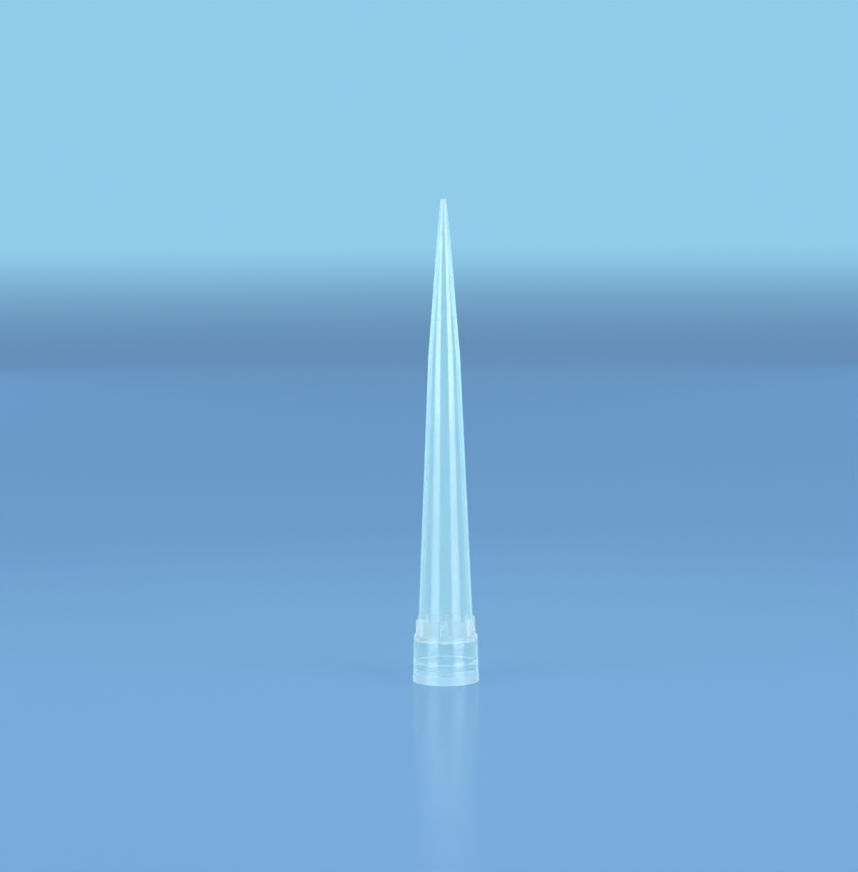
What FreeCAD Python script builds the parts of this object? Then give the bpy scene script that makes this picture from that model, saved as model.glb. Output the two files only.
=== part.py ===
import FreeCAD, Part
import math
import os
import sys

import Sketcher

# A one-piece moulded pipette tip of the 1000 microlitre class. It stands on its collar's rim, with the
# orifice at the top. +Z runs along the tip's axis and the origin is the centre of the rim.
# All sizes are in millimetres.

NODE = "pipette_tip"

# name in the sheet, value, what it sizes
SIZES = [
    ("overall_length", 71.0, "rim to orifice"),
    ("collar_length", 7.0, "rim to the collar's shoulder"),
    ("collar_radius", 4.775, "outside of the collar's plain land"),
    ("collar_wall", 0.425, "collar wall at the land"),
    ("shoulder_wall", 0.65, "floor that closes the collar round the barrel's bore"),
    ("shoulder_draft_length", 1.55, "length of the collar's drafted top"),
    ("shoulder_inset", 0.1, "how far the draft draws the collar in"),
    ("shoulder_round", 0.2, "rounding of the collar's top edge"),
    ("band_length", 3.1, "height of the thicker band round the mouth"),
    ("band_step", 0.05, "how far the band stands out from the land"),
    ("band_slope_length", 0.55, "height of the slope from the band up to the land"),
    ("flare_length", 1.5, "rim to the start of the flare"),
    ("flare_step", 0.065, "how far the flare widens the band at the rim"),
    ("rim_round", 0.12, "rounding of the rim's outer edge"),
    ("mouth_wall", 0.32, "wall at the rim"),
    ("lead_in_length", 1.2, "height of the lead-in cone inside the mouth"),
    ("lip_top", 2.0, "rim to the top of the lip between the lead-in and the relief ring"),
    ("lip_clearance", 0.02, "how much wider than the nozzle seat the lip is at its top"),
    ("lip_draft", 0.03, "how far the lip widens down to the lead-in"),
    ("relief_depth", 0.11, "depth of the relief ring between the lip and the nozzle seat"),
    ("relief_draft", 0.01, "how far the relief's floor widens downwards"),
    ("relief_ledge_length", 0.15, "height of the slope at the relief's foot"),
    ("relief_slope_length", 0.25, "height of the slope at the relief's head"),
    ("seat_foot", 3.1, "rim to the foot of the nozzle seat"),
    ("seat_chamfer_width", 0.25, "how far the chamfer at the seat's head reaches in"),
    ("seat_chamfer_length", 0.25, "height of the chamfer at the seat's head"),
    ("barrel_radius", 4.09, "outside of the barrel where it leaves the collar"),
    ("barrel_wall", 0.47, "barrel wall at the collar"),
    ("point_length", 23.1, "knee, where the taper changes, to the orifice"),
    ("knee_radius", 2.335, "outside at the knee"),
    ("knee_wall", 0.38, "wall at the knee"),
    ("nose_length", 6.0, "start of the steeper nose to the orifice"),
    ("nose_radius", 0.99, "outside at the start of the nose"),
    ("nose_wall", 0.29, "wall at the start of the nose"),
    ("end_radius", 0.41, "outside at the orifice"),
    ("end_wall", 0.14, "wall at the orifice"),
    ("end_round", 0.06, "rounding of the orifice's outer edge"),
    ("rib_count", 6, "ribs round the foot of the barrel"),
    ("rib_length", 2.45, "shoulder to the top of a rib"),
    ("rib_reach", 4.64, "axis to a rib's outer face"),
    ("rib_thickness", 1.15, "width of a rib"),
    ("rib_round", 0.3, "rounding of a rib's top outer edge"),
]

# Rules for the places that follow from the sizes.
BAND_RADIUS = "Sizes.collar_radius + Sizes.band_step"
RIM_RADIUS = "Sizes.collar_radius + Sizes.band_step + Sizes.flare_step"
MOUTH_RADIUS = RIM_RADIUS + " - Sizes.mouth_wall"
SHOULDER_RADIUS = "Sizes.collar_radius - Sizes.shoulder_inset"
SEAT_RADIUS = "Sizes.collar_radius - Sizes.collar_wall"
SEAT_TOP = "Sizes.collar_length - Sizes.shoulder_wall"
RELIEF_RADIUS = SEAT_RADIUS + " + Sizes.relief_depth"
RELIEF_LEDGE_TOP = "Sizes.lip_top + Sizes.relief_ledge_length"
LIP_RADIUS = SEAT_RADIUS + " + Sizes.lip_clearance"
KNEE_HEIGHT = "Sizes.overall_length - Sizes.point_length"
NOSE_HEIGHT = "Sizes.overall_length - Sizes.nose_length"
RIB_TOP = "Sizes.collar_length + Sizes.rib_length"
BARREL_SLOPE = "(Sizes.barrel_radius - Sizes.knee_radius) / (" + KNEE_HEIGHT + " - Sizes.collar_length)"

# The sketcher's own numbers for a sketch's two axes, and for the start, end and centre of a side.
AXIS_HORIZONTAL, AXIS_VERTICAL = range(-1, -3, -1)
START_POINT, END_POINT, CENTRE_POINT = range(1, 4)


def make_sheet(doc):
    """Put the driving sizes into a spreadsheet, one row each, with an alias."""
    sheet = doc.addObject("Spreadsheet::Sheet", "Sizes")
    for row, (alias, value, meaning) in enumerate(SIZES, start=1):
        sheet.set("A" + str(row), meaning)
        sheet.set("B" + str(row), str(value))
        sheet.setAlias("B" + str(row), alias)
    doc.recompute()
    return sheet


def origin_feature(body, role):
    """Find one of the body's own origin planes or axes."""
    for feature in body.Origin.OriginFeatures:
        if feature.Role == role:
            return feature
    raise LookupError(role)


def make_sketch(body, name, plane):
    """Start a sketch on one of the body's origin planes."""
    sketch = body.newObject("Sketcher::SketchObject", name)
    sketch.AttachmentSupport = [(origin_feature(body, plane), "")]
    sketch.MapMode = "FlatFace"
    return sketch


def pin_coordinate(sketch, kind, axis, segment, rule):
    """Tie one coordinate of a segment's start to a rule, or to the axis where the rule is 0."""
    if rule == "0":
        sketch.addConstraint(Sketcher.Constraint("PointOnObject", segment, START_POINT, axis))
        return
    distance = sketch.evalExpression(rule)
    constraint = Sketcher.Constraint(kind, AXIS_HORIZONTAL, START_POINT, segment, START_POINT, distance)
    index = sketch.addConstraint(constraint)
    sketch.setExpression("Constraints[" + str(index) + "]", rule)


def outline_segment(start, finish, turn):
    """One side of an outline: a straight line, or a quarter round that bulges outwards."""
    if turn is None:
        return Part.LineSegment(start, finish)
    if turn == "centre level with start":
        centre = FreeCAD.Vector(finish.x, start.y, 0)
    else:
        centre = FreeCAD.Vector(start.x, finish.y, 0)
    circle = Part.Circle(centre, FreeCAD.Vector(0, 0, 1), (start - centre).Length)
    first_angle = math.atan2(start.y - centre.y, start.x - centre.x)
    return Part.ArcOfCircle(circle, first_angle, first_angle + math.pi / 2)


def add_outline(sketch, corners):
    """Draw a closed outline. Each corner is (across rule, up rule, turn of the side after it)."""
    points = []
    for across, up, turn in corners:
        points.append(FreeCAD.Vector(sketch.evalExpression(across), sketch.evalExpression(up), 0))
    count = len(corners)
    for index, (across, up, turn) in enumerate(corners):
        sketch.addGeometry(outline_segment(points[index], points[(index + 1) % count], turn), False)
    for index, (across, up, turn) in enumerate(corners):
        following = (index + 1) % count
        sketch.addConstraint(Sketcher.Constraint("Coincident", index, END_POINT, following, START_POINT))
        pin_coordinate(sketch, "DistanceX", AXIS_VERTICAL, index, across)
        pin_coordinate(sketch, "DistanceY", AXIS_HORIZONTAL, index, up)
        if turn == "centre level with start":
            sketch.addConstraint(Sketcher.Constraint("Horizontal", index, START_POINT, index, CENTRE_POINT))
        if turn == "centre above start":
            sketch.addConstraint(Sketcher.Constraint("Vertical", index, START_POINT, index, CENTRE_POINT))


def section_corners():
    """Half section of the moulding, anticlockwise from the foot of the mouth."""
    rim = [
        (MOUTH_RADIUS, "0", None),
        (RIM_RADIUS + " - Sizes.rim_round", "0", "centre above start"),
        (RIM_RADIUS, "Sizes.rim_round", None),
    ]
    collar = [
        (BAND_RADIUS, "Sizes.flare_length", None),
        (BAND_RADIUS, "Sizes.band_length", None),
        ("Sizes.collar_radius", "Sizes.band_length + Sizes.band_slope_length", None),
        ("Sizes.collar_radius", "Sizes.collar_length - Sizes.shoulder_draft_length", None),
        (SHOULDER_RADIUS, "Sizes.collar_length - Sizes.shoulder_round", "centre level with start"),
        (SHOULDER_RADIUS + " - Sizes.shoulder_round", "Sizes.collar_length", None),
    ]
    outside = [
        ("Sizes.barrel_radius", "Sizes.collar_length", None),
        ("Sizes.knee_radius", KNEE_HEIGHT, None),
        ("Sizes.nose_radius", NOSE_HEIGHT, None),
        ("Sizes.end_radius", "Sizes.overall_length - Sizes.end_round", "centre level with start"),
        ("Sizes.end_radius - Sizes.end_round", "Sizes.overall_length", None),
    ]
    bore = [
        ("Sizes.end_radius - Sizes.end_wall", "Sizes.overall_length", None),
        ("Sizes.nose_radius - Sizes.nose_wall", NOSE_HEIGHT, None),
        ("Sizes.knee_radius - Sizes.knee_wall", KNEE_HEIGHT, None),
        ("Sizes.barrel_radius - Sizes.barrel_wall", SEAT_TOP, None),
    ]
    seat = [
        (SEAT_RADIUS + " - Sizes.seat_chamfer_width", SEAT_TOP, None),
        (SEAT_RADIUS, SEAT_TOP + " - Sizes.seat_chamfer_length", None),
        (SEAT_RADIUS, "Sizes.seat_foot", None),
        (RELIEF_RADIUS, "Sizes.seat_foot - Sizes.relief_slope_length", None),
        (RELIEF_RADIUS + " + Sizes.relief_draft", RELIEF_LEDGE_TOP, None),
        (LIP_RADIUS, "Sizes.lip_top", None),
        (LIP_RADIUS + " + Sizes.lip_draft", "Sizes.lead_in_length", None),
    ]
    return rim + collar + outside + bore + seat


def add_section(doc, body):
    """Turn the half section about the tip's axis: collar, barrel, point and nose in one."""
    sketch = make_sketch(body, "TipSection", "XZ_Plane")
    add_outline(sketch, section_corners())
    doc.recompute()
    turned = body.newObject("PartDesign::Revolution", "TurnedTip")
    turned.Profile = sketch
    turned.ReferenceAxis = (sketch, ["V_Axis"])
    turned.Angle = 360
    sketch.Visibility = False
    doc.recompute()
    return turned


def rib_corners():
    """Side view of one rib, from its root inside the barrel's wall out to its outer face."""
    root = "Sizes.barrel_radius - " + BARREL_SLOPE + " * Sizes.rib_length - Sizes.barrel_wall / 2"
    foot = "Sizes.collar_length - Sizes.shoulder_wall / 2"
    return [
        (root, foot, None),
        ("Sizes.rib_reach", foot, None),
        ("Sizes.rib_reach", RIB_TOP + " - Sizes.rib_round", "centre level with start"),
        ("Sizes.rib_reach - Sizes.rib_round", RIB_TOP, None),
        (root, RIB_TOP, None),
    ]


def add_ribs(doc, body):
    """Stand one rib on the collar's shoulder and repeat it round the axis."""
    sketch = make_sketch(body, "RibProfile", "YZ_Plane")
    add_outline(sketch, rib_corners())
    doc.recompute()
    rib = body.newObject("PartDesign::Pad", "Rib")
    rib.Profile = sketch
    rib.SideType = "Symmetric"
    rib.setExpression("Length", "Sizes.rib_thickness")
    sketch.Visibility = False
    doc.recompute()
    ribs = body.newObject("PartDesign::PolarPattern", "Ribs")
    ribs.Originals = [rib]
    ribs.Axis = (origin_feature(body, "Z_Axis"), [""])
    ribs.Angle = 360
    ribs.setExpression("Occurrences", "Sizes.rib_count")
    body.Tip = ribs
    doc.recompute()
    return ribs


def check_document(doc, body, turned, ribs):
    """Stop unless every object worked and the ribs added material to one valid solid."""
    for thing in doc.Objects:
        if "Invalid" in thing.State or "Error" in thing.State:
            sys.exit(thing.Name + " failed: " + str(thing.State))
    shape = body.Shape
    if shape.isNull() or not shape.isValid() or len(shape.Solids) != 1:
        sys.exit(body.Label + " is not one valid solid")
    if ribs.Shape.Volume <= turned.Shape.Volume:
        sys.exit("the ribs added nothing")


def report_body(body):
    """Print the finished piece's volume and extent."""
    shape = body.Shape
    box = shape.optimalBoundingBox()
    print(body.Label, "volume", round(shape.Volume, 3), "mm3, faces", len(shape.Faces))
    print("x", round(box.XMin, 3), round(box.XMax, 3), "y", round(box.YMin, 3), round(box.YMax, 3))
    print("z", round(box.ZMin, 3), round(box.ZMax, 3))


def main():
    doc = FreeCAD.newDocument("PipetteTip")
    make_sheet(doc)
    body = doc.addObject("PartDesign::Body", "Tip")
    body.Label = NODE
    turned = add_section(doc, body)
    ribs = add_ribs(doc, body)
    body.Placement = FreeCAD.Placement()
    doc.recompute()
    check_document(doc, body, turned, ribs)
    report_body(body)
    os.makedirs("parts", exist_ok=True)
    body.Shape.exportStep("parts/" + body.Label + ".step")


main()
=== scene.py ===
"""Dresses a one-piece moulded pipette tip for a studio view.

The tip stands on its collar's rim with the orifice at the top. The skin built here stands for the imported
solid: the same section and ribs, with rounded rib corners and the clear, slightly milky finish of natural
polypropylene. Sizes of the tip and of its matt zones are in millimetres, and become metres in its mesh
and its finish. Everything in the studio round it is in metres.
"""

import logging
import math
from dataclasses import dataclass, field
from enum import Enum

import bpy
from mathutils import Matrix, Vector


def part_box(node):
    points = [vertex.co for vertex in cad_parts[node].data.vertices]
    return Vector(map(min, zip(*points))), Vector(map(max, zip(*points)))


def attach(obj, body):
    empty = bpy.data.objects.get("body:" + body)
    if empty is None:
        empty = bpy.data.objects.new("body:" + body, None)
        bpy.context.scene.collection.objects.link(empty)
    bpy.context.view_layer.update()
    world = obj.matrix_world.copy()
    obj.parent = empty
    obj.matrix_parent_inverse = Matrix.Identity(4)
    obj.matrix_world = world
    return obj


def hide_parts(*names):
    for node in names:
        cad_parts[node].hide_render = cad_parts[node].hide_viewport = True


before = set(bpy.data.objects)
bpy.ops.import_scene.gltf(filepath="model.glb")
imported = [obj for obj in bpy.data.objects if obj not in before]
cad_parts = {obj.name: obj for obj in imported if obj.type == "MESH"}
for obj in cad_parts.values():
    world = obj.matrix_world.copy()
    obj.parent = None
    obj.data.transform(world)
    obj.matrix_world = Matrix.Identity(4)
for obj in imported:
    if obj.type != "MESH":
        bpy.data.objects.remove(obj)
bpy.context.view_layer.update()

NODE = "pipette_tip"
MILLIMETRE = 0.001
WELD_DIGITS = 5
HAZE_BOUNCES = 4

log = logging.getLogger("pipette_tip")

Colour = tuple[float, float, float, float]
Place = tuple[float, float, float]


# ---------------------------------------------------------------------------------------------------------
# Shader expressions
# ---------------------------------------------------------------------------------------------------------


@dataclass(frozen=True)
class Pattern:
    """A noise pattern: its waves to a metre along each axis, and how many finer layers it has."""

    waves: Place
    detail: float


class Value:
    """A number that varies over a surface. Arithmetic on it adds Math nodes to its tree."""

    def __init__(self, shader: "Shader", socket: bpy.types.NodeSocket) -> None:
        """Keep the socket and the tree it belongs to."""
        self.shader = shader
        self.socket = socket

    def __add__(self, other: "Value | float") -> "Value":
        """This value plus another."""
        return self.shader.math("ADD", self, other)

    __radd__ = __add__

    def __sub__(self, other: "Value | float") -> "Value":
        """This value less another."""
        return self.shader.math("SUBTRACT", self, other)

    def __rsub__(self, other: float) -> "Value":
        """A number less this value."""
        return self.shader.math("SUBTRACT", other, self)

    def __mul__(self, other: "Value | float") -> "Value":
        """This value times another."""
        return self.shader.math("MULTIPLY", self, other)

    __rmul__ = __mul__


class Shader:
    """Adds nodes to the tree of one material or world."""

    def __init__(self, tree: bpy.types.NodeTree) -> None:
        """Empty the tree and keep it."""
        self.tree = tree
        tree.nodes.clear()

    def node(
        self,
        kind: str,
        settings: dict[str, object] | None = None,
        inputs: dict[str | int, object] | None = None,
    ) -> bpy.types.Node:
        """Add any node.

        Args:
            kind: Blender's name for the node's type.
            settings: Properties of the node, set before its sockets.
            inputs: A value, socket or link for each named or numbered socket.

        Returns:
            The new node.
        """
        node = self.tree.nodes.new(kind)
        for name, setting in (settings or {}).items():
            setattr(node, name, setting)
        for name, given in (inputs or {}).items():
            source = given.socket if isinstance(given, Value) else given
            if isinstance(source, bpy.types.NodeSocket):
                self.tree.links.new(source, node.inputs[name])
            else:
                node.inputs[name].default_value = source
        return node

    def math(self, operation: str, first: "Value | float", second: "Value | float" = 0.0) -> Value:
        """Add a Math node.

        Args:
            operation: What the node works out.
            first: Its first number.
            second: Its second number.

        Returns:
            The node's result.
        """
        node = self.node("ShaderNodeMath", {"operation": operation}, {0: first, 1: second})
        return Value(self, node.outputs[0])

    def step(self, value: Value, low: float, high: float) -> Value:
        """Rise smoothly from 0 to 1 as a value passes from low to high.

        Args:
            value: The value to follow.
            low: Where the result leaves 0.
            high: Where the result reaches 1.

        Returns:
            The smooth step.
        """
        settings = {"interpolation_type": "SMOOTHSTEP"}
        node = self.node("ShaderNodeMapRange", settings, {0: value, 1: low, 2: high, 3: 0.0, 4: 1.0})
        return Value(self, node.outputs[0])

    def stretched(self, vector: bpy.types.NodeSocket, factors: Place) -> bpy.types.NodeSocket:
        """Multiply a vector by a factor along each axis."""
        node = self.node("ShaderNodeVectorMath", {"operation": "MULTIPLY"}, {0: vector, 1: factors})
        return node.outputs[0]

    def distance(self, place: bpy.types.NodeSocket) -> Value:
        """Measure how far a point is from the upright axis through the origin."""
        across = self.stretched(place, (1.0, 1.0, 0.0))
        length = self.node("ShaderNodeVectorMath", {"operation": "LENGTH"}, {0: across})
        return Value(self, length.outputs["Value"])

    def noise(self, vector: bpy.types.NodeSocket, pattern: Pattern) -> Value:
        """Add a noise texture.

        Args:
            vector: Where the noise is looked up.
            pattern: Its waves and layers.

        Returns:
            The noise, around a half.
        """
        inputs = {"Vector": self.stretched(vector, pattern.waves), "Scale": 1.0, "Detail": pattern.detail}
        return Value(self, self.node("ShaderNodeTexNoise", {}, inputs).outputs[0])

    def blend(self, share: Value, first: Colour, second: Colour) -> bpy.types.NodeSocket:
        """Mix two colours by a share of the second."""
        inputs = {"Factor": share, 6: first, 7: second}
        return self.node("ShaderNodeMix", {"data_type": "RGBA"}, inputs).outputs[2]

    def mix(
        self,
        share: "Value | bpy.types.NodeSocket",
        first: bpy.types.Node,
        second: bpy.types.Node,
    ) -> bpy.types.Node:
        """Mix two shaders by a share of the second."""
        return self.node("ShaderNodeMixShader", {}, {0: share, 1: first.outputs[0], 2: second.outputs[0]})


# ---------------------------------------------------------------------------------------------------------
# Finishes
# ---------------------------------------------------------------------------------------------------------


@dataclass(frozen=True)
class MattZone:
    """A matt part of the surface: its limits in height and distance from the axis, and how rough it is.

    Each limit is softened on both sides by `soft`, and the upper one by `head_soft`. A zone that takes in
    the axis itself has its inner limit below 0, clear of its soft edge.
    """

    low: float
    high: float
    inner: float
    outer: float
    roughness: float
    soft: float = 0.06
    head_soft: float = 0.06

    def share(self, shader: Shader, place: bpy.types.NodeSocket) -> Value:
        """Find where the zone is.

        Args:
            shader: The tree to add to.
            place: The point on the surface, in metres.

        Returns:
            1 in the zone and 0 outside it.
        """
        parts = shader.node("ShaderNodeSeparateXYZ", {}, {0: place})
        height = Value(shader, parts.outputs[2])
        radius = shader.distance(place)
        over_foot = self.above(shader, height, self.low, self.soft)
        under_head = 1.0 - self.above(shader, height, self.high, self.head_soft)
        outside_inner = self.above(shader, radius, self.inner, self.soft)
        inside_outer = 1.0 - self.above(shader, radius, self.outer, self.soft)
        return over_foot * under_head * outside_inner * inside_outer

    def above(self, shader: Shader, value: Value, limit: float, soft: float) -> Value:
        """Find where a value is above one of the zone's limits."""
        return shader.step(value, (limit - soft) * MILLIMETRE, (limit + soft) * MILLIMETRE)


@dataclass(frozen=True)
class NaturalPolypropylene:
    """Clear, faintly milky moulded polypropylene, polished except in its matt zones.

    The matt zones lie between the ribs, round the collar's foot and at the nose. Haze in the walls
    scatters some light, and light from the lamps passes straight through, so the shadow is pale. The
    zones' limits are in millimetres, as the tip's sizes are, and every other measure is in metres.
    """

    clear_colour: Colour = (0.95, 0.98, 0.99, 1.0)
    milky_colour: Colour = (0.985, 0.99, 0.995, 1.0)
    clearness: float = 0.99
    haze_colour: Colour = (0.5, 1.0, 0.88, 1.0)
    haze_density: float = 560.0
    haze_forward: float = -0.1
    refraction: float = 1.49
    polish: float = 0.05
    polish_wear: float = 0.07
    grain: Pattern = Pattern((9000.0, 9000.0, 9000.0), 1.0)
    streaks: Pattern = Pattern((900.0, 900.0, 35.0), 3.0)
    rings: Pattern = Pattern((25.0, 25.0, 1500.0), 2.0)
    clouds: Pattern = Pattern((160.0, 160.0, 90.0), 3.0)
    grain_spread: float = 0.8
    grain_height: float = 4.5
    streak_height: float = 0.5
    ring_height: float = 0.35
    texture_strength: float = 0.12
    texture_depth: float = 0.00002
    matt_zones: tuple[MattZone, ...] = (
        MattZone(low=6.95, high=9.3, inner=3.75, outer=4.5, roughness=0.3, head_soft=0.5),
        MattZone(low=-1.0, high=1.25, inner=4.0, outer=5.2, roughness=0.36, head_soft=0.2),
        MattZone(low=66.0, high=75.0, inner=-5.0, outer=5.0, roughness=0.27, soft=4.5),
    )

    def make(self) -> bpy.types.Material:
        """Build the material.

        Returns:
            The finish, ready to assign.
        """
        material = bpy.data.materials.new("natural_polypropylene")
        material.use_nodes = True
        shader = Shader(material.node_tree)
        place = shader.node("ShaderNodeTexCoord").outputs["Object"]
        grain = shader.noise(place, self.grain)
        matt = sum((zone.share(shader, place) * zone.roughness for zone in self.matt_zones), 0.0)
        # The grain lies around a half, so this varies the zones' roughness around their own value.
        matt = matt * (1.0 - self.grain_spread / 2.0 + self.grain_spread * grain)
        streaks = shader.noise(place, self.streaks)
        rings = shader.noise(place, self.rings)
        clouds = shader.noise(place, self.clouds)
        colour = shader.blend(clouds, self.clear_colour, self.milky_colour)
        roughness = self.polish + self.polish_wear * streaks * clouds + matt
        texture = streaks * self.streak_height + rings * self.ring_height + grain * matt * self.grain_height
        depths = {"Strength": self.texture_strength, "Distance": self.texture_depth, "Height": texture}
        bump = shader.node("ShaderNodeBump", {}, depths)
        surface = shader.node(
            "ShaderNodeBsdfPrincipled",
            {},
            {
                "Base Color": colour,
                "Roughness": roughness,
                "IOR": self.refraction,
                "Transmission Weight": self.clearness,
                "Normal": bump.outputs[0],
            },
        )
        lamp_ray = shader.node("ShaderNodeLightPath").outputs["Is Shadow Ray"]
        open_way = shader.node("ShaderNodeBsdfTransparent", {}, {"Color": self.milky_colour})
        lit = shader.mix(lamp_ray, surface, open_way)
        haze = shader.node(
            "ShaderNodeVolumeScatter",
            {},
            {"Color": self.haze_colour, "Density": self.haze_density, "Anisotropy": self.haze_forward},
        )
        ends = {"Surface": lit.outputs[0], "Volume": haze.outputs[0]}
        shader.node("ShaderNodeOutputMaterial", {}, ends)
        return material


@dataclass(frozen=True)
class StudioSweep:
    """The plain pale floor: a matt board under a soft sheen, which fades into the backdrop far away.

    The camera sees the sheen weakened, and more so away from the tip. Seen in or through the tip it has
    its full strength.
    """

    colour: Colour = (0.22, 0.38, 0.69, 1.0)
    mottle_colour: Colour = (0.235, 0.395, 0.71, 1.0)
    mottle: Pattern = Pattern((6.0, 6.0, 6.0), 4.0)
    backdrop_colour: Colour = (0.28, 0.60, 0.83, 1.0)
    sheen_colour: Colour = (0.88, 1.0, 1.0, 1.0)
    sheen_strength: float = 1.0
    held_back_near: float = 0.45
    held_back_far: float = 0.88
    held_back_start: float = 0.04
    held_back_end: float = 0.2
    sheen_refraction: float = 1.5
    roughness: float = 0.2
    fade_start: float = 0.6
    fade_end: float = 1.6

    def make(self) -> bpy.types.Material:
        """Build the material.

        Returns:
            The finish, ready to assign.
        """
        material = bpy.data.materials.new("studio_sweep")
        material.use_nodes = True
        shader = Shader(material.node_tree)
        place = shader.node("ShaderNodeTexCoord").outputs["Object"]
        mottle = shader.noise(place, self.mottle)
        board = shader.node(
            "ShaderNodeBsdfPrincipled",
            {},
            {
                "Base Color": shader.blend(mottle, self.colour, self.mottle_colour),
                "Roughness": self.roughness,
                "Specular IOR Level": 0.0,
            },
        )
        sheen = {"Color": self.sheen_colour, "Roughness": self.roughness}
        gloss = shader.node("ShaderNodeBsdfGlossy", {}, sheen)
        fresnel = shader.node("ShaderNodeFresnel", {}, {"IOR": self.sheen_refraction})
        seen = Value(shader, shader.node("ShaderNodeLightPath").outputs["Is Camera Ray"])
        away = shader.step(shader.distance(place), self.held_back_start, self.held_back_end)
        held_back = self.held_back_near + (self.held_back_far - self.held_back_near) * away
        share = Value(shader, fresnel.outputs[0]) * (self.sheen_strength - held_back * seen)
        glossy = shader.mix(share, board, gloss)
        backdrop = shader.node("ShaderNodeEmission", {}, {"Color": self.backdrop_colour})
        far = shader.step(shader.distance(place), self.fade_start, self.fade_end)
        sweep = shader.mix(far, glossy, backdrop)
        shader.node("ShaderNodeOutputMaterial", {}, {"Surface": sweep.outputs[0]})
        return material


# ---------------------------------------------------------------------------------------------------------
# The tip
# ---------------------------------------------------------------------------------------------------------


class Over(Enum):
    """What a ring of the skin does where a rib stands in its way."""

    NOTHING = "runs clear below or above the ribs"
    FOOT = "stops at the rib's foot"
    RIB = "climbs over the rib"
    ROOT = "crosses where the rib's top meets the barrel"


@dataclass(frozen=True)
class Spot:
    """A point of the half section: its distance from the axis and its height."""

    radius: float
    height: float


@dataclass(frozen=True)
class Ring:
    """One ring of the skin, with its place between the ribs and its place over the middle of a rib."""

    plain: Spot
    over: Over = Over.NOTHING
    on_rib: Spot | None = None


@dataclass(frozen=True)
class Column:
    """One column of the skin, placed from the nearest rib's middle plane or by its share of a gap."""

    rib_angle: float
    offset: float
    drop: float
    share: float
    on_rib: bool


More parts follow.
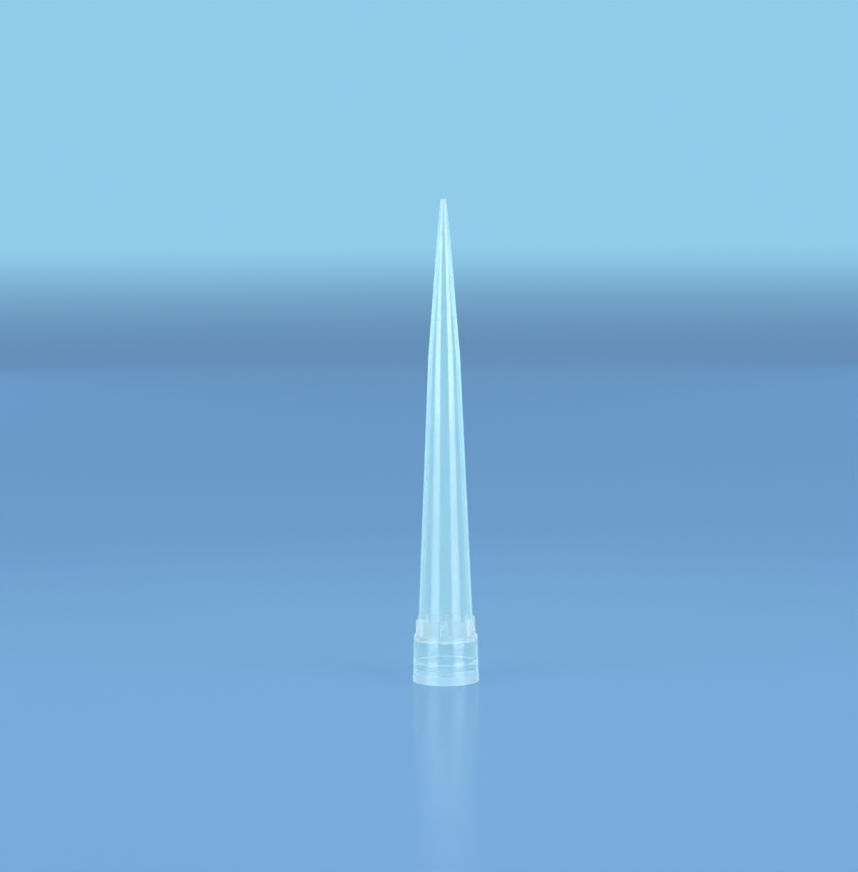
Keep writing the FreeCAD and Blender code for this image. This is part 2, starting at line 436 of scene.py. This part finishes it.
@dataclass
class TipMoulding:
    """The one-piece tip: collar, ribs, barrel, point and nose, with the bore through them.

    The sizes named steps and columns say how finely the mesh divides each stretch.
    """

    collar_length: float = 7.0
    collar_radius: float = 4.775
    collar_wall: float = 0.425
    shoulder_wall: float = 0.65
    shoulder_draft_length: float = 1.55
    shoulder_inset: float = 0.1
    shoulder_round: float = 0.2
    band_length: float = 3.1
    band_step: float = 0.05
    band_slope_length: float = 0.55
    flare_length: float = 1.5
    flare_step: float = 0.065
    rim_round: float = 0.12
    mouth_wall: float = 0.32
    lead_in_length: float = 1.2
    lip_top: float = 2.0
    lip_clearance: float = 0.02
    lip_draft: float = 0.03
    relief_depth: float = 0.11
    relief_draft: float = 0.01
    relief_ledge_length: float = 0.15
    relief_slope_length: float = 0.25
    seat_foot: float = 3.1
    seat_chamfer_width: float = 0.25
    seat_chamfer_length: float = 0.25
    barrel_radius: float = 4.09
    barrel_wall: float = 0.47
    point_length: float = 23.1
    knee_radius: float = 2.335
    knee_wall: float = 0.38
    nose_length: float = 6.0
    nose_radius: float = 0.99
    nose_wall: float = 0.29
    end_radius: float = 0.41
    end_wall: float = 0.14
    end_round: float = 0.06
    rib_count: int = 6
    rib_length: float = 2.45
    rib_reach: float = 4.64
    rib_thickness: float = 1.15
    rib_round: float = 0.3
    rib_corner: float = 0.1
    rib_flat_columns: int = 3
    gap_columns: int = 27
    round_steps: int = 5
    rib_face_steps: int = 4
    rim_steps: int = 2
    collar_steps: tuple[int, ...] = (6, 4, 4, 5, 6)
    seat_steps: tuple[int, ...] = (2, 8, 3, 3, 2, 3, 5)
    ledge_steps: int = 3
    barrel_steps: int = 24
    point_steps: int = 12
    nose_steps: int = 8
    sharp_angle: float = 32.0
    finish: NaturalPolypropylene = field(default_factory=NaturalPolypropylene)

    def __post_init__(self) -> None:
        """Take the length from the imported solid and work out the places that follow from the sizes."""
        low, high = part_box(NODE)
        self.length = (high.z - low.z) / MILLIMETRE
        self.knee_height = self.length - self.point_length
        self.nose_height = self.length - self.nose_length
        self.rib_top = self.collar_length + self.rib_length
        self.shoulder_radius = self.collar_radius - self.shoulder_inset
        self.seat_radius = self.collar_radius - self.collar_wall
        self.seat_top = self.collar_length - self.shoulder_wall
        self.band_radius = self.collar_radius + self.band_step
        self.rim_radius = self.band_radius + self.flare_step

    def build(self) -> bpy.types.Object:
        """Make the tip's mesh, dress it and set it on the frame.

        Returns:
            The finished piece.
        """
        mesh = self.skin(self.rings(), self.columns())
        mesh.materials.append(self.finish.make())
        piece = bpy.data.objects.new("tip_moulding", mesh)
        bpy.context.scene.collection.objects.link(piece)
        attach(piece, "root")
        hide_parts(NODE)
        log.info("%s: %d faces", piece.name, len(mesh.polygons))
        return piece

    def rings(self) -> list[Ring]:
        """List the rings of the closed section, anticlockwise from the foot of the mouth.

        Returns:
            The rings in order.
        """
        plain = [Ring(spot) for spot in self.collar_outside()]
        foot = [Ring(spot, Over.FOOT) for spot in self.shoulder_edge()]
        rest = self.barrel_outside() + self.orifice() + self.bore() + self.seat()
        return plain + foot + self.rib_rings() + [Ring(spot) for spot in rest]

    def collar_outside(self) -> list[Spot]:
        """Trace the collar from the mouth's foot up to the rounding of its shoulder.

        Returns:
            The spots in order.
        """
        mouth = Spot(self.rim_radius - self.mouth_wall, 0.0)
        rim_centre = Spot(self.rim_radius - self.rim_round, self.rim_round)
        rim = Spot(self.rim_radius, self.rim_round)
        flare_top = Spot(self.band_radius, self.flare_length)
        band_top = Spot(self.band_radius, self.band_length)
        land_foot = Spot(self.collar_radius, self.band_length + self.band_slope_length)
        land_top = Spot(self.collar_radius, self.collar_length - self.shoulder_draft_length)
        draft_top = Spot(self.shoulder_radius, self.collar_length - self.shoulder_round)
        spots = chain([mouth, Spot(rim_centre.radius, 0.0)], (self.rim_steps,))
        spots += arc(rim_centre, self.rim_round, -90.0, 0.0, self.round_steps)[:-1]
        return spots + chain([rim, flare_top, band_top, land_foot, land_top, draft_top], self.collar_steps)

    def shoulder_edge(self) -> list[Spot]:
        """Trace the rounding at the collar's top, which the ribs' feet stand on."""
        centre = Spot(self.shoulder_radius - self.shoulder_round, self.collar_length - self.shoulder_round)
        return arc(centre, self.shoulder_round, 0.0, 90.0, self.round_steps)

    def rib_rings(self) -> list[Ring]:
        """Pair the shoulder and barrel between the ribs with the face, rounding and top of a rib.

        Returns:
            The rings from just past the ribs' feet up to where their tops meet the barrel.
        """
        face_top = self.rib_top - self.rib_round
        face_foot = Spot(self.rib_reach, self.collar_length)
        face = run(face_foot, Spot(self.rib_reach, face_top), self.rib_face_steps)[1:-1]
        centre = Spot(self.rib_reach - self.rib_round, face_top)
        rounding = arc(centre, self.rib_round, 0.0, 90.0, self.round_steps)
        over_rib = face + rounding
        root_height = self.rib_top - self.rib_corner
        flat_edge = Spot(self.shoulder_radius - self.shoulder_round, self.collar_length)
        corner = Spot(self.barrel_radius, self.collar_length)
        root = Spot(self.barrel_surface(root_height), root_height)
        shoulder = run(flat_edge, corner, len(face) + 1)[1:]
        between = shoulder + run(corner, root, len(rounding))[1:]
        rings = [Ring(spot, Over.RIB, rib) for spot, rib in zip(between, over_rib)]
        return rings + [Ring(root, Over.ROOT)]

    def barrel_outside(self) -> list[Spot]:
        """Trace the barrel, the point and the nose from the ribs' tops up.

        Returns:
            The spots in order.
        """
        start_height = self.rib_top + self.rib_corner
        start = Spot(self.barrel_surface(start_height), start_height)
        knee = Spot(self.knee_radius, self.knee_height)
        nose = Spot(self.nose_radius, self.nose_height)
        end = Spot(self.end_radius, self.length - self.end_round)
        return chain([start, knee, nose, end], (self.barrel_steps, self.point_steps, self.nose_steps))

    def orifice(self) -> list[Spot]:
        """Trace the rounded lip of the orifice."""
        centre = Spot(self.end_radius - self.end_round, self.length - self.end_round)
        return arc(centre, self.end_round, 0.0, 90.0, self.round_steps)

    def bore(self) -> list[Spot]:
        """Trace the bore from the orifice down to the floor that closes the collar.

        Returns:
            The spots in order.
        """
        orifice = Spot(self.end_radius - self.end_wall, self.length)
        nose = Spot(self.nose_radius - self.nose_wall, self.nose_height)
        knee = Spot(self.knee_radius - self.knee_wall, self.knee_height)
        foot = Spot(self.barrel_radius - self.barrel_wall, self.seat_top)
        chamfer_head = Spot(self.seat_radius - self.seat_chamfer_width, self.seat_top)
        steps = (self.nose_steps, self.point_steps, self.barrel_steps, self.ledge_steps)
        return chain([orifice, nose, knee, foot, chamfer_head], steps)

    def seat(self) -> list[Spot]:
        """Trace the collar's inside: chamfer, nozzle seat, relief ring, lip and lead-in.

        Returns:
            The spots in order, down to just above the mouth.
        """
        chamfer_head = Spot(self.seat_radius - self.seat_chamfer_width, self.seat_top)
        seat_head = Spot(self.seat_radius, self.seat_top - self.seat_chamfer_length)
        seat_foot = Spot(self.seat_radius, self.seat_foot)
        relief_radius = self.seat_radius + self.relief_depth
        relief_head = Spot(relief_radius, self.seat_foot - self.relief_slope_length)
        relief_foot = Spot(relief_radius + self.relief_draft, self.lip_top + self.relief_ledge_length)
        lip_head = Spot(self.seat_radius + self.lip_clearance, self.lip_top)
        lead_in_head = Spot(lip_head.radius + self.lip_draft, self.lead_in_length)
        mouth = Spot(self.rim_radius - self.mouth_wall, 0.0)
        seat = [chamfer_head, seat_head, seat_foot]
        return chain(seat + [relief_head, relief_foot, lip_head, lead_in_head, mouth], self.seat_steps)

    def barrel_surface(self, height: float) -> float:
        """Give the barrel's outer radius at a height."""
        share = (height - self.collar_length) / (self.knee_height - self.collar_length)
        return self.barrel_radius + (self.knee_radius - self.barrel_radius) * share

    def shoulder_surface(self, radius: float) -> float:
        """Give the height of the collar's top at a distance from the axis."""
        past_flat = radius - (self.shoulder_radius - self.shoulder_round)
        if past_flat <= 0.0:
            return self.collar_length
        return self.collar_length - self.shoulder_round + math.sqrt(self.shoulder_round**2 - past_flat**2)

    def columns(self) -> list[Column]:
        """List the columns of the skin once round the axis, rib by rib.

        Returns:
            The columns in order of angle.
        """
        half = self.rib_thickness / 2.0
        flat = half - self.rib_corner
        across = [(flat * step / self.rib_flat_columns, 0.0) for step in range(self.rib_flat_columns + 1)]
        for spot in arc(Spot(flat, -self.rib_corner), self.rib_corner, 90.0, 0.0, self.round_steps)[1:]:
            across.append((spot.radius, -spot.height))
        mirrored = [(-offset, drop) for offset, drop in reversed(across[1:])]
        columns = []
        for rib in range(self.rib_count):
            angle = math.tau * rib / self.rib_count - math.pi / 2.0
            for offset, drop in mirrored + across:
                columns.append(Column(angle, offset, drop, 0.0, True))
            for step in range(self.gap_columns + 1):
                columns.append(Column(angle, half, self.rib_corner, step / self.gap_columns, False))
        return columns

    def angle(self, column: Column, radius: float) -> float:
        """Find a column's angle at a distance from the axis.

        Args:
            column: The column.
            radius: The distance from the axis.

        Returns:
            The angle round the axis.
        """
        held = min(max(radius, self.barrel_surface(self.rib_top)), self.rib_reach)
        edge = math.asin(column.offset / held)
        gap = math.tau / self.rib_count - 2.0 * edge
        return column.rib_angle + edge + gap * column.share

    def place(self, ring: Ring, column: Column) -> Place:
        """Find where a ring and a column cross.

        Args:
            ring: The ring.
            column: The column.

        Returns:
            The point.
        """
        spot = ring.plain
        foot_radius = math.hypot(column.offset, self.rib_reach - column.drop)
        beside_rib = column.on_rib or column.share in (0.0, 1.0)
        if ring.over is Over.FOOT and beside_rib and spot.radius < foot_radius:
            spot = Spot(foot_radius, self.shoulder_surface(foot_radius))
        if ring.over is Over.RIB and column.on_rib:
            reach = ring.on_rib.radius - column.drop
            spot = Spot(math.hypot(column.offset, reach), ring.on_rib.height - column.drop)
            turn = column.rib_angle + math.atan2(column.offset, reach)
            return around(spot, turn)
        if ring.over is Over.ROOT and column.on_rib:
            height = self.rib_top - column.drop
            spot = Spot(self.barrel_surface(height), height)
        return around(spot, self.angle(column, spot.radius))

    def skin(self, rings: list[Ring], columns: list[Column]) -> bpy.types.Mesh:
        """Join the rings and columns into one closed surface, welding where they meet.

        Args:
            rings: The rings of the closed section.
            columns: The columns once round the axis.

        Returns:
            The mesh, smooth but for its real edges.
        """
        welded: dict[Place, int] = {}
        grid = []
        for ring in rings:
            row = []
            for column in columns:
                key = tuple(round(part, WELD_DIGITS) for part in self.place(ring, column))
                row.append(welded.setdefault(key, len(welded)))
            grid.append(row)
        faces = []
        for lower, upper in zip(grid, grid[1:] + grid[:1]):
            for left in range(len(columns)):
                right = (left + 1) % len(columns)
                corners = [lower[left], lower[right], upper[right], upper[left]]
                corners = list(dict.fromkeys(corners))
                if len(corners) > 2:
                    faces.append(corners)
        places = [Vector(key) * MILLIMETRE for key in welded]
        mesh = bpy.data.meshes.new("tip_moulding")
        mesh.from_pydata(places, [], faces)
        mesh.shade_smooth()
        mesh.set_sharp_from_angle(angle=math.radians(self.sharp_angle))
        return mesh


def run(start: Spot, finish: Spot, steps: int) -> list[Spot]:
    """Step evenly along a straight line.

    Args:
        start: The first spot.
        finish: The last spot.
        steps: How many steps to take.

    Returns:
        The spots, with both ends.
    """
    spots = []
    for step in range(steps + 1):
        share = step / steps
        radius = start.radius + (finish.radius - start.radius) * share
        spots.append(Spot(radius, start.height + (finish.height - start.height) * share))
    return spots


def chain(corners: list[Spot], steps: tuple[int, ...]) -> list[Spot]:
    """Step along straight stretches from corner to corner.

    Args:
        corners: Where the stretches start and end.
        steps: How many steps to take along each stretch.

    Returns:
        The spots, without the last corner, which starts whatever follows.
    """
    spots = []
    for start, finish, count in zip(corners[:-1], corners[1:], steps, strict=True):
        spots += run(start, finish, count)[:-1]
    return spots


def arc(centre: Spot, radius: float, start: float, finish: float, steps: int) -> list[Spot]:
    """Step evenly round an arc.

    Args:
        centre: The arc's centre.
        radius: The arc's radius.
        start: Its first angle in degrees, from straight outwards.
        finish: Its last angle.
        steps: How many steps to take.

    Returns:
        The spots, with both ends.
    """
    spots = []
    for step in range(steps + 1):
        turn = math.radians(start + (finish - start) * step / steps)
        spots.append(Spot(centre.radius + radius * math.cos(turn), centre.height + radius * math.sin(turn)))
    return spots


def around(spot: Spot, angle: float) -> Place:
    """Turn a spot of the section round the axis to an angle."""
    return (spot.radius * math.cos(angle), spot.radius * math.sin(angle), spot.height)


# ---------------------------------------------------------------------------------------------------------
# The studio
# ---------------------------------------------------------------------------------------------------------


@dataclass(frozen=True)
class SoftBox:
    """A soft box that stands round the tip and faces it. Its level is 1 where its front is plain white."""

    name: str
    angle: float
    level: float
    width: float = 0.42
    foot: float = 0.0
    height: float = 0.75
    distance: float = 0.6
    colour: Colour = (0.84, 1.0, 0.98, 1.0)
    mirrored: bool = True

    def hang(self, view_angle: float) -> None:
        """Hang the box.

        Args:
            view_angle: Where the camera stands, which the box's own angle is counted from.
        """
        lamp = bpy.data.lights.new(self.name, "AREA")
        lamp.shape = "RECTANGLE"
        lamp.size = self.width
        lamp.size_y = self.height
        lamp.energy = self.level * math.pi * self.width * self.height
        lamp.color = self.colour[:3]
        turn = math.radians(view_angle + self.angle)
        box = bpy.data.objects.new(self.name, lamp)
        middle = self.foot + self.height / 2.0
        box.location = (self.distance * math.sin(turn), -self.distance * math.cos(turn), middle)
        box.rotation_euler = (math.radians(90.0), 0.0, turn)
        box.visible_camera = False
        box.visible_glossy = self.mirrored
        bpy.context.scene.collection.objects.link(box)


@dataclass
class Studio:
    """Floor, surroundings, soft boxes and the camera. Sizes in metres, angles in degrees."""

    floor_radius: float = 8.0
    floor_rings: int = 24
    floor_columns: int = 96
    light_colour: Colour = (0.78, 0.96, 1.0, 1.0)
    light_level: float = 0.54
    boxes: tuple[SoftBox, ...] = (
        SoftBox("left_soft_box", -49.0, 2.25),
        SoftBox("right_soft_box", 49.0, 2.65),
        SoftBox("left_low_box", -49.0, 2.0, foot=0.03, height=0.17, distance=0.59),
        SoftBox("right_low_box", 49.0, 2.3, foot=0.03, height=0.17, distance=0.59),
        SoftBox("left_rim_box", -150.0, 0.75, width=0.3, height=0.3, colour=(0.55, 0.93, 1.0, 1.0)),
        SoftBox("right_rim_box", 150.0, 0.75, width=0.3, height=0.3, colour=(0.55, 0.93, 1.0, 1.0)),
        SoftBox("back_box", 180.0, 0.25, width=0.9, foot=0.11, height=1.3, distance=1.9, mirrored=False),
    )
    view_angle: float = 2.9
    view_distance: float = 0.4956
    view_height: float = 0.0847
    view_pitch: float = 5.58
    view_yaw: float = 0.265
    view_roll: float = 0.34
    nearest: float = 0.01
    lens: float = 140.37
    sensor: float = 36.0
    sweep: StudioSweep = field(default_factory=StudioSweep)

    def build(self) -> None:
        """Build the whole studio."""
        self.floor()
        self.surroundings()
        for box in self.boxes:
            box.hang(self.view_angle)
        self.camera()

    def floor(self) -> None:
        """Lay the round floor, with rings that widen away from the tip."""
        corners: list[Place] = [(0.0, 0.0, 0.0)]
        for ring in range(1, self.floor_rings + 1):
            radius = self.floor_radius * (ring / self.floor_rings) ** 2
            for column in range(self.floor_columns):
                corners.append(around(Spot(radius, 0.0), math.tau * column / self.floor_columns))
        faces = []
        for column in range(self.floor_columns):
            following = (column + 1) % self.floor_columns
            faces.append((0, 1 + column, 1 + following))
            for ring in range(self.floor_rings - 1):
                inner = 1 + ring * self.floor_columns
                outer = inner + self.floor_columns
                faces.append((inner + column, outer + column, outer + following, inner + following))
        mesh = bpy.data.meshes.new("studio_floor")
        mesh.from_pydata(corners, [], faces)
        mesh.materials.append(self.sweep.make())
        floor = bpy.data.objects.new("studio_floor", mesh)
        bpy.context.scene.collection.objects.link(floor)
        log.info("%s: %.1f m across", floor.name, 2.0 * self.floor_radius)

    def surroundings(self) -> None:
        """Light the tip evenly from all round, and show a plain pale backdrop behind it and in it."""
        world = bpy.data.worlds.new("studio_surroundings")
        bpy.context.scene.world = world
        world.use_nodes = True
        shader = Shader(world.node_tree)
        glow = {"Color": self.light_colour, "Strength": self.light_level}
        light = shader.node("ShaderNodeBackground", {}, glow)
        shown = shader.node("ShaderNodeBackground", {}, {"Color": self.sweep.backdrop_colour})
        path = shader.node("ShaderNodeLightPath").outputs
        direct = Value(shader, path["Is Camera Ray"])
        mirrored = Value(shader, path["Is Glossy Ray"])
        refracted = Value(shader, path["Is Transmission Ray"])
        seen = shader.math("MAXIMUM", shader.math("MAXIMUM", direct, mirrored), refracted)
        mixed = shader.mix(seen, light, shown)
        shader.node("ShaderNodeOutputWorld", {}, {"Surface": mixed.outputs[0]})

    def camera(self) -> None:
        """Set the camera a little above the tip's middle, looking slightly down."""
        lens = bpy.data.cameras.new("studio_camera")
        lens.lens = self.lens
        lens.sensor_width = self.sensor
        lens.clip_start = self.nearest
        turn = math.radians(self.view_angle)
        heading = Matrix.Rotation(math.radians(self.view_angle + self.view_yaw), 4, "Z")
        tilt = Matrix.Rotation(math.radians(90.0 - self.view_pitch), 4, "X")
        roll = Matrix.Rotation(math.radians(-self.view_roll), 4, "Z")
        place = Matrix.Translation(
            (self.view_distance * math.sin(turn), -self.view_distance * math.cos(turn), self.view_height)
        )
        camera = bpy.data.objects.new("studio_camera", lens)
        camera.matrix_world = place @ heading @ tilt @ roll
        bpy.context.scene.collection.objects.link(camera)
        bpy.context.scene.camera = camera


# ---------------------------------------------------------------------------------------------------------
# The scene
# ---------------------------------------------------------------------------------------------------------


def main() -> None:
    """Build the studio and the tip."""
    logging.basicConfig(level=logging.INFO, format="%(name)s %(message)s")
    bpy.context.scene.view_settings.view_transform = "Standard"
    bpy.context.scene.cycles.volume_bounces = HAZE_BOUNCES
    Studio().build()
    TipMoulding().build()


if __name__ == "__main__":
    main()
